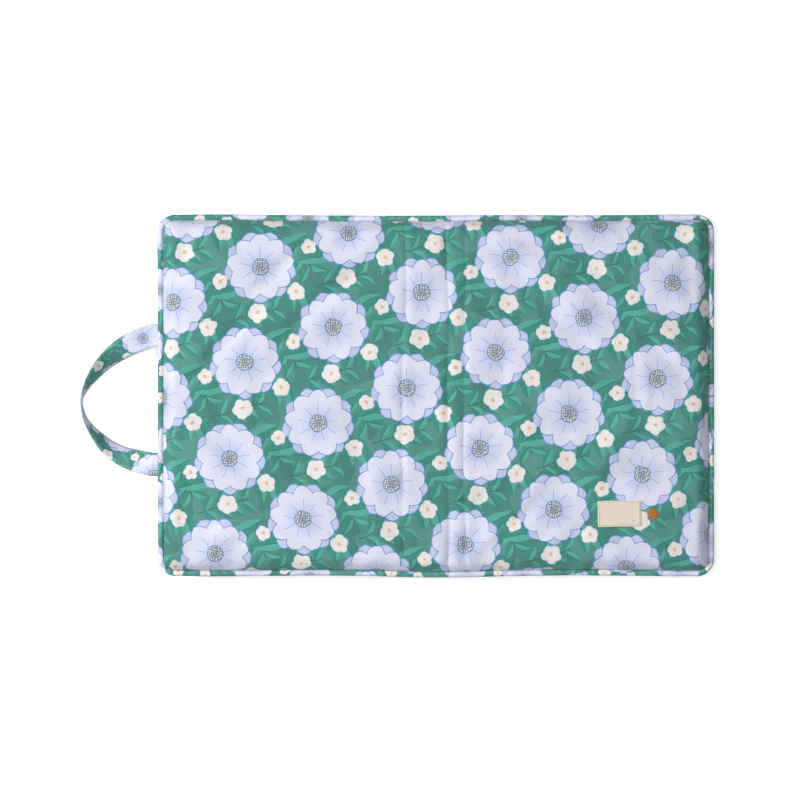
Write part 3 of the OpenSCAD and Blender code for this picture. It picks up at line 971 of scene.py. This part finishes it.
def foam(name, sgn):
    """One slab of foam: it fills the cover on its side of the fold, a little inside the fabric."""
    grid, gx, gy = rounded_grid(8.8, 4.0)
    grid = grid.reshape(gx, gy, 2)
    half = grid[gx // 2:].copy()
    half[0, :, 0] = 0.5
    m, k = half.shape[:2]
    x, y = half[..., 0].ravel() * sgn, half[..., 1].ravel()
    d = inset_of(np.column_stack([x, y]))
    top_z = under_cover(x, y) - 1.9
    low_z = np.interp(d, [t[0] for t in TRAY], [t[1] for t in TRAY]) + 1.1 + 1.4
    verts = np.vstack([np.column_stack([x, y, top_z]), np.column_stack([x, y, low_z])])
    top_f = grid_faces(m, k)
    faces = [tuple(f) for f in top_f] + [tuple(i + m * k for i in f[::-1]) for f in top_f]
    loop = [i * k for i in range(m)] + [(m - 1) * k + j for j in range(1, k)] + [i * k + k - 1 for i in range(m - 2, -1, -1)] + list(range(k - 2, 0, -1))
    rows = 6
    prev = loop
    n = len(loop)
    for r in range(1, rows + 1):
        if r < rows:
            t = r / rows
            start = len(verts)
            a, b = verts[loop], verts[[q + m * k for q in loop]]
            verts = np.vstack([verts, a + (b - a) * t])
            now = list(range(start, start + n))
        else:
            now = [q + m * k for q in loop]
        for q in range(n):
            faces.append((prev[(q + 1) % n], prev[q], now[q], now[(q + 1) % n]))
        prev = now
    if sgn < 0:
        faces = [f[::-1] for f in faces]
    return make(name, soften(verts), faces, FOAM, verts)


foams = [foam("foam_slab_left", -1), foam("foam_slab_right", 1)]


def filler(name, zc, seed):
    pts, nor, run = rim(PIPE_R, 2.2)
    n, m = len(pts), 12
    r0 = 1.45
    verts, fab = [], []
    for i in range(n):
        for j in range(m):
            a = 2 * math.pi * j / m
            r = r0 * (1 + 0.06 * math.cos(3 * a + run[i] * 1.15))
            verts.append((pts[i][0] + nor[i][0] * math.cos(a) * r, pts[i][1] + nor[i][1] * math.cos(a) * r, zc + math.sin(a) * r))
            fab.append((run[i], a * r0))
    return make(name, soften(verts), grid_faces(n, m, True, True), CORD, fab)


fillers = [filler("top_piping_cord", TOP_PIPE_Z, 1), filler("bottom_piping_cord", LOW_PIPE_Z, 2)]


# ---------------------------------------------------------------- carry strap

TAB_T, STRAP_W, STRAP_T = 2.0, 19.0, 2.4
TAB_Z = BAND_Z1 - TAB_T / 2
SWING_X = -HX - 4.0
STRAP_LOW = STRAP_W / 2 + 0.5
STRAP_LINE = [[0, 48.5, 0, 0], [14, 43.5, 0.18, 14], [27, 36.5, 0.42, 31], [38, 28, 0.66, 47], [47.5, 17.5, 0.85, 62],
              [55, 6, 0.97, 78], [58.6, -4, 1, 90], [57.6, -13, 1, 86], [54, -22, 0.98, 80], [47.5, -31, 0.92, 68],
              [38.5, -40.5, 0.80, 53], [27.5, -48, 0.60, 40], [15, -52.8, 0.34, 24], [0, -56, 0, 0]]
CTRL = np.array([[-14, 52, 0, -8]] + STRAP_LINE + [[-14, -57, 0, -8]], float)


def strap_frames(steps=12):
    """The strap's centre line with its width and thickness directions, from inside one seam to inside the other."""
    n = (len(STRAP_LINE) - 1) * steps
    pos, twist = [], []
    for k in range(n + 1):
        i = min(k // steps, len(STRAP_LINE) - 2)
        t = k / steps - i
        a, b, c, e = CTRL[i], CTRL[i + 1], CTRL[i + 2], CTRL[i + 3]
        p = 0.5 * (2 * b + (c - a) * t + (2 * a - 5 * b + 4 * c - e) * t * t + (3 * b - a - 3 * c + e) * t ** 3)
        pos.append((SWING_X - p[0], p[1], TAB_Z + (STRAP_LOW - TAB_Z) * p[2]))
        tw = min(max(p[3], 0), 90)
        twist.append(tw + 2.5 * max(0.0, tw - 60) / 30)
    pos = np.array(pos)
    tan = np.gradient(pos, axis=0)
    tan[0], tan[-1] = (-1, 0, 0), (1, 0, 0)
    tan /= np.linalg.norm(tan, axis=1)[:, None]
    out = []
    for p, t, w in zip(pos, tan, twist):
        a = math.radians(w)
        nn = np.array([t[1], -t[0], 0.0])
        nn /= np.linalg.norm(nn)
        wd = nn * math.cos(a) + np.array([0, 0, 1.0]) * math.sin(a)
        wd -= t * (wd @ t)
        wd /= np.linalg.norm(wd)
        out.append((p, t, wd, np.cross(wd, t)))
    # the two ends run straight in through the seam, then turn down inside the band
    (p0, t0, w0, h0), (p1, t1, w1, h1) = out[0], out[-1]
    turn_x = ENDS_HI[0] - 0.9
    lead, tail = [], []
    for q in (0.2, 2.2, 4.2, 6.2):
        lead.append((np.array([SWING_X + q, p0[1], TAB_Z]), t0, w0, h0))
        tail.append((np.array([SWING_X + q, p1[1], TAB_Z]), t1, w1, h1))
    for i in range(1, 7):
        a = math.pi / 2 * i / 6
        cx, cz, r = turn_x - 2.4, TAB_Z - 2.4, 2.4
        px = cx + r * math.sin(a)
        pz = cz + r * math.cos(a)
        for lst, pe, we in ((lead, p0, w0), (tail, p1, w1)):
            t = np.array([math.cos(a), 0, -math.sin(a)]) * (-1 if lst is lead else 1)
            lst.append((np.array([px, pe[1], pz]), t, we, np.cross(we, t)))
    for q in (2.0, 4.5, 7.0):
        lead.append((np.array([turn_x, p0[1], TAB_Z - 2.4 - q]), np.array([0, 0, 1.0]), w0, np.cross(w0, [0, 0, 1.0])))
        tail.append((np.array([turn_x, p1[1], TAB_Z - 2.4 - q]), np.array([0, 0, -1.0]), w1, np.cross(w1, [0, 0, -1.0])))
    return lead[::-1] + out + tail


def build_strap():
    fr = strap_frames()
    sec = []
    m = 9
    for side_y in (-1, 1):
        for i in range(m):
            u = (-0.5 + i / (m - 1)) * (1 if side_y < 0 else -1)
            puff = 0.5 * (1 - abs(2 * u) ** 6) * 0.55 + 0.5 * 0.45
            groove = 0.10 * math.exp(-((abs(u) - 0.405) / 0.035) ** 2)
            sec.append((u, side_y * (puff - groove)))
    verts, fab = [], []
    run = 0.0
    last = fr[0][0]
    for k, (p, t, w, h) in enumerate(fr):
        run += float(np.linalg.norm(p - last))
        last = p
        seated = float(sm((p[0] - SWING_X - 1.5) / 4.0))
        thick = 2.0 - 0.3 * seated
        wid = STRAP_W - 0.6 * seated
        wob = 0.18 * math.sin(run * 0.16) + 0.12 * math.sin(run * 0.41 + 1)
        for u, v in sec:
            verts.append(p + w * (u * wid) + h * (v * thick + (1 - seated) * wob * 0.4))
            fab.append((run, u * STRAP_W + (0 if v > 0 else 30)))
    n, m2 = len(fr), len(sec)
    faces = grid_faces(n, m2, False, True)
    faces.append(list(range(m2))[::-1])
    faces.append([(n - 1) * m2 + j for j in range(m2)])
    ob = make("carry_strap", verts, faces, STRAPPED, fab)
    # rows of topstitching along both edges, on both faces
    items = []
    cum = np.concatenate([[0], np.cumsum([np.linalg.norm(fr[i + 1][0] - fr[i][0]) for i in range(n - 1)])])
    P = np.array([f[0] for f in fr]); W = np.array([f[2] for f in fr]); H = np.array([f[3] for f in fr])

    def at(s, u, face):
        q = [np.array([np.interp(s, cum, A[:, c]) for c in range(3)]) for A in (P, W, H)]
        sway = 0.4 * (0.18 * math.sin(s * 0.16) + 0.12 * math.sin(s * 0.41 + 1))
        return q[0] + q[1] * u * STRAP_W + q[2] * (face * 0.63 + sway), q[2] * face
    lo = cum[np.nonzero(P[:, 0] < SWING_X - 0.2)[0][0]]
    hi = cum[np.nonzero(P[:, 0] < SWING_X - 0.2)[0][-1]]
    for u in (-0.405, 0.405):
        for face in (-1, 1):
            s = lo + 0.6
            while s + 2.2 < hi:
                (a, n1), (b, n2) = at(s, u, face), at(s + 2.2, u, face)
                items.append((a, b, (n1 + n2) / np.linalg.norm(n1 + n2)))
                s += 3.0
    st = stitches("strap_topstitch", items, THREAD, r=0.23)
    return ob, st


strap, strap_thread = build_strap()


# ---------------------------------------------------------------- zip end

def zip_strip(name, box, open_low):
    """A folded strip of the band's fabric beside the zip, with a row of topstitching by its fold."""
    (x0, y0, z0), (x1, y1, z1) = box
    n = 140
    ys = np.linspace(y0, y1, n)
    sec = []
    k = 8
    for i in range(k + 1):
        t = i / k
        sec.append((0.35 * math.sin(math.pi * t), z0 + (z1 - z0) * t))
    verts, fab = [], []
    for y in ys:
        w = 0.35 * ripple(np.array([y]), np.array([z0]), 71, 34, 3)[0]
        for o, zz in sec:
            t = (zz - z0) / (z1 - z0)
            verts.append((x1 + o * (1 + w) - 0.05, y, zz))
            fab.append((HY + y, zz))
    ob = make(name, verts, [f for f in grid_faces(n, k + 1)], BANDED, fab)
    thicken(ob, 1.15)
    zs = z0 + 1.1 if open_low else z1 - 1.1
    items = []
    y = y0 + 1.5
    while y + 2.2 < y1 - 1:
        items.append(((x1 + 0.12, y, zs), (x1 + 0.12, y + 2.2, zs), (1, 0, 0)))
        y += 3.0
    return ob, items


strip_up, st_a = zip_strip("zip_strip_upper", STRIP_HI, True)
strip_dn, st_b = zip_strip("zip_strip_lower", STRIP_LO, False)
strip_thread = stitches("zip_topstitch", st_a + st_b, THREAD, r=0.24)

COIL_LO, COIL_HI = mm_box("zip_coil")
TAPE_LO, TAPE_HI = mm_box("zip_tapes")


def coil():
    """Two nylon coils with their teeth meshed along the middle line."""
    xc = (COIL_LO[0] + COIL_HI[0]) / 2
    zc = (COIL_LO[2] + COIL_HI[2]) / 2
    rc = (COIL_HI[0] - COIL_LO[0]) / 2
    off = (COIL_HI[2] - COIL_LO[2]) / 2 - rc
    verts, faces, fab = [], [], []
    pitch, m, per = 1.5, 6, 14
    for s in (-1, 1):
        y0, y1 = COIL_LO[1] + 0.3, COIL_HI[1] - 0.3
        turns = (y1 - y0) / pitch
        n = int(turns * per)
        wire = 0.3
        base = len(verts)
        for i in range(n + 1):
            a = 2 * math.pi * i / per + (math.pi if s > 0 else 0)
            yy = y0 + (y1 - y0) * i / n
            # each turn reaches across the middle line to lock with the other coil
            r_in = rc - wire
            cz = math.cos(a) * (r_in + (0.22 if math.cos(a) * -s > 0.6 else 0))
            c = np.array([xc + math.sin(a) * r_in, yy, zc + s * off + cz])
            t = np.array([math.cos(a) * r_in, pitch / (2 * math.pi), -math.sin(a) * r_in])
            t /= np.linalg.norm(t)
            n1 = np.cross(t, (0, 1, 0)); n1 /= np.linalg.norm(n1)
            n2 = np.cross(t, n1)
            for j in range(m):
                q = 2 * math.pi * j / m
                verts.append(c + n1 * math.cos(q) * wire + n2 * math.sin(q) * wire)
                fab.append((yy + i * 0.13, q * wire))
        for i in range(n):
            for j in range(m):
                p, q = base + i * m + j, base + i * m + (j + 1) % m
                faces.append((p, q, q + m, p + m))
        faces.append([base + j for j in range(m)][::-1])
        faces.append([base + n * m + j for j in range(m)])
    return make("zip_coil_teeth", verts, faces, NYLON, fab)


teeth = coil()


def tape_piece(name, lo, hi):
    """A woven zip tape with a corded edge."""
    n, k = 120, 9
    verts, fab = [], []
    th = hi[0] - lo[0]
    for i in range(n):
        y = lo[1] + (hi[1] - lo[1]) * i / (n - 1)
        for face in (1, -1):
            for j in range(k):
                t = j / (k - 1) if face > 0 else 1 - j / (k - 1)
                zz = lo[2] + (hi[2] - lo[2]) * t
                rib = 0.05 * math.sin(t * math.pi * 9)
                verts.append(((lo[0] + hi[0]) / 2 + face * (th / 2 - 0.06 + rib), y, zz))
                fab.append((y, zz + (0 if face > 0 else 9)))
    m = 2 * k
    faces = [f[::-1] for f in grid_faces(n, m, False, True)]
    faces.append(list(range(m)))
    faces.append([(n - 1) * m + j for j in range(m)][::-1])
    return verts, faces, fab


tv, tf, tfab = [], [], []
zmid = (TAPE_LO[2] + TAPE_HI[2]) / 2
for lo, hi in ((np.array([TAPE_LO[0], TAPE_LO[1], zmid + 2.3]), TAPE_HI), (TAPE_LO, np.array([TAPE_HI[0], TAPE_HI[1], zmid - 2.3]))):
    v, f, b = tape_piece("t", lo, hi)
    k = len(tv)
    tv += v
    tf += [[i + k for i in q] for q in f]
    tfab += b
tapes = outward(make("zip_tape_pair", tv, tf, TAPE, tfab))


# ---------------------------------------------------------------- label and dot

def label_patch():
    """A blank woven patch, its four edges folded under, so they stand a little prouder."""
    (x0, y0, z0), (x1, y1, z1) = LABEL_LO, LABEL_HI
    nx, ny = 72, 44
    tilt = math.radians(0.9)
    cx, cy = (x0 + x1) / 2, (y0 + y1) / 2
    gx, gy = np.meshgrid(np.linspace(x0, x1, nx), np.linspace(y0, y1, ny), indexing="ij")
    x, y = gx.ravel(), gy.ravel()
    e = np.minimum(np.minimum(x - x0, x1 - x), np.minimum(y - y0, y1 - y))
    top = z1 - 0.1 + 0.1 * sm(1 - np.abs(e - 1.6) / 1.6) - 0.16 * sm(1 - e / 0.5) + 0.03 * ripple(x, y, 81, 14, 2)
    # the stitches pull the cloth down between them
    top -= 0.07 * np.exp(-((e - 1.2) / 0.35) ** 2)
    low = np.full_like(top, z0)
    r = 0.8
    dx = np.sign(x - cx) * np.maximum(0, np.abs(x - cx) - ((x1 - x0) / 2 - r))
    dy = np.sign(y - cy) * np.maximum(0, np.abs(y - cy) - ((y1 - y0) / 2 - r))
    d = np.hypot(dx, dy)
    f = np.where(d > r, r / np.maximum(d, 1e-9), 1)
    x, y = x - dx * (1 - f), y - dy * (1 - f)
    rx = cx + (x - cx) * math.cos(tilt) - (y - cy) * math.sin(tilt)
    ry = cy + (x - cx) * math.sin(tilt) + (y - cy) * math.cos(tilt)
    n = nx * ny
    verts = np.vstack([np.column_stack([rx, ry, top]), np.column_stack([rx, ry, low])])
    faces = grid_faces(nx, ny) + [tuple(i + n for i in q[::-1]) for q in grid_faces(nx, ny)]
    loop = [i * ny for i in range(nx)] + [(nx - 1) * ny + j for j in range(1, ny)] + [i * ny + ny - 1 for i in range(nx - 2, -1, -1)] + [j for j in range(ny - 2, 0, -1)]
    for a, b in zip(loop, loop[1:] + loop[:1]):
        faces.append((b, a, a + n, b + n))
    ob = make("blank_label", verts, faces, LABEL, np.column_stack([verts[:, 0], verts[:, 1]]))
    items = []
    zs = z1 + 0.02

    def place(px, py):
        return (cx + px * math.cos(tilt) - py * math.sin(tilt), cy + px * math.sin(tilt) + py * math.cos(tilt), zs)
    w, h = (x1 - x0) / 2 - 1.2, (y1 - y0) / 2 - 1.2
    for s in (-1, 1):
        q = -w
        while q + 1.9 < w + 0.2:
            items.append((place(q, s * h), place(q + 1.7, s * h)))
            q += 2.35
        q = -h
        while q + 1.9 < h + 0.2:
            items.append((place(s * w, q), place(s * w, q + 1.7)))
            q += 2.35
    st = stitches("label_edge_stitches", items, LABEL_THREAD, r=0.17)
    return ob, st


label, label_st = label_patch()


def satin_dot():
    """Side-by-side satin threads that together make a plain round dot."""
    cx, cy = (DOT_LO[0] + DOT_HI[0]) / 2, (DOT_LO[1] + DOT_HI[1]) / 2
    R = (DOT_HI[0] - DOT_LO[0]) / 2
    z0, z1 = DOT_LO[2], DOT_HI[2]
    verts, faces, fab = [], [], []
    pitch, m, k = 0.43, 8, 15
    ang = math.radians(28)
    ca, sa = math.cos(ang), math.sin(ang)
    q = -R + pitch * 0.7
    while q < R - pitch * 0.6:
        half = math.sqrt(max(R * R - q * q, 0.05)) + 0.12 * math.sin(q * 9.1)
        base = len(verts)
        for i in range(k):
            t = -1 + 2 * i / (k - 1)
            u = t * half
            dome = (z1 - z0 - 0.22) * math.sqrt(max(0.0, 1 - (u * u + q * q) / (R * R * 1.06)))
            zc = z0 + 0.12 + dome
            w = pitch * 0.56 * (1 - 0.6 * abs(t) ** 8)
            for j in range(m):
                a = 2 * math.pi * j / m
                lx, ly = u, q + math.cos(a) * w
                verts.append((cx + lx * ca - ly * sa, cy + lx * sa + ly * ca, zc + math.sin(a) * w * 0.5))
                fab.append((u * 1.0, q * 3 + a * w))
        for i in range(k - 1):
            for j in range(m):
                p, r = base + i * m + j, base + i * m + (j + 1) % m
                faces.append((p, p + m, r + m, r))
        faces.append([base + j for j in range(m)])
        faces.append([base + (k - 1) * m + j for j in reversed(range(m))])
        q += pitch
    return outward(make("satin_dot", verts, faces, FLOSS, fab))


dot = satin_dot()

# ---------------------------------------------------------------- what moves with what


def across(ob, *nodes, slot):
    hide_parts(*nodes)
    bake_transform(ob)


across(top, "top_panel_left", "top_panel_right", slot="cover_fabric")
across(bottom, "bottom_panel_left", "bottom_panel_right", slot="cover_fabric")
across(side, "side_band_left", "side_band_right", slot="cover_fabric")
across(top_pipe, "top_piping_left", "top_piping_right", slot="piping_fabric")
across(low_pipe, "bottom_piping_left", "bottom_piping_right", slot="piping_fabric")
across(fillers[0], "top_piping_cord_left", "top_piping_cord_right", slot="piping_cord")
across(fillers[1], "bottom_piping_cord_left", "bottom_piping_cord_right", slot="piping_cord")
across(foams[0], "foam_core_left", slot="foam")
across(foams[1], "foam_core_right", slot="foam")

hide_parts("handle_strap", "handle_ends")
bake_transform(strap)
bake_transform(strap_thread)

for ob, node, slot in ((strip_up, "zip_band_upper", "cover_fabric"), (strip_dn, "zip_band_lower", "cover_fabric"),
                       (tapes, "zip_tapes", "zip_tape"), (teeth, "zip_coil", "zip_nylon"), (strip_thread, None, "thread"),
                       (label, "label", "label_cloth"), (label_st, "label_stitching", "thread"),
                       (dot, "embroidered_dot", "embroidery_thread")):
    if node:
        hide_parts(node)
    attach(ob, "right_half")

for node, mat in (("zip_slider", METAL), ("zip_pull", METAL), ("zip_stops", METAL), ("handle_stitching", THREAD)):
    ob = frame["nodes"][node]
    if not ob.material_slots:
        ob.data.materials.append(mat)
    for s in ob.material_slots:
        s.material = mat
    if mat is METAL:
        weld = ob.modifiers.new("weld", "WELD")
        weld.merge_threshold = 0.00001
        soft = ob.modifiers.new("eased", "BEVEL")
        soft.width, soft.segments, soft.limit_method, soft.angle_limit = 0.00022, 3, "ANGLE", math.radians(35)
        soft.harden_normals = False

# ---------------------------------------------------------------- floor, light and camera


def floor():
    n = 60
    s = 3.0
    xs = np.linspace(-s, s, n)
    gx, gy = np.meshgrid(xs, xs, indexing="ij")
    me = bpy.data.meshes.new("floor")
    me.from_pydata([(float(a), float(b), -0.0002) for a, b in zip(gx.ravel(), gy.ravel())], [], grid_faces(n, n))
    ob = bpy.data.objects.new("floor", me)
    scene.collection.objects.link(ob)
    m, g, bsdf = material("floor_paper")
    t = g.new("ShaderNodeTexCoord")
    n1 = g.noise(t.outputs["Object"], 60.0, 3.0)
    g.put(bsdf.inputs["Base Color"], g.mix(n1, (0.955, 0.955, 0.955), (0.97, 0.97, 0.97)))
    g.put(bsdf.inputs["Roughness"], 0.9)
    g.put(bsdf.inputs["Specular IOR Level"], 0.1)
    g.put(bsdf.inputs["Emission Color"], (1.0, 1.0, 1.0))
    g.put(bsdf.inputs["Emission Strength"], 0.50)
    me.materials.append(m)
    ob.visible_diffuse = False  # it throws no light back up on to the object


floor()

world = bpy.data.worlds.new("studio")
scene.world = world
world.use_nodes = True
world.node_tree.nodes["Background"].inputs[0].default_value = (1, 1, 1, 1)
world.node_tree.nodes["Background"].inputs[1].default_value = 0.30


def lamp(name, loc, target, size, power):
    li = bpy.data.lights.new(name, "AREA")
    li.shape = "DISK"
    li.size = size
    li.energy = power
    ob = bpy.data.objects.new(name, li)
    ob.location = loc
    ob.rotation_euler = (Vector(target) - Vector(loc)).to_track_quat("-Z", "Y").to_euler()
    scene.collection.objects.link(ob)


lamp("key", (-2.1, 0.30, 1.75), (0, 0, 0.02), 0.5, 50.0)
lamp("overhead", (-0.1, 0.0, 2.6), (0, 0, 0.0), 0.7, 22.0)

PX = 0.0008065
cam = bpy.data.cameras.new("camera")
cam_ob = bpy.data.objects.new("camera", cam)
scene.collection.objects.link(cam_ob)
dist = 4.2
cam.sensor_width = 36.0
cam.lens = 36.0 * dist / (800 * PX)
cam.clip_end = 20
cam_ob.location = ((400 - 436) * PX, (395.3 - 400) * PX, CROWN * MM + dist)
cam_ob.rotation_euler = (0, 0, 0)
scene.camera = cam_ob
bpy.context.scene.camera = cam_ob
scene.view_settings.view_transform = "Standard"
scene.view_settings.look = "None"
scene.view_settings.exposure = 0.0
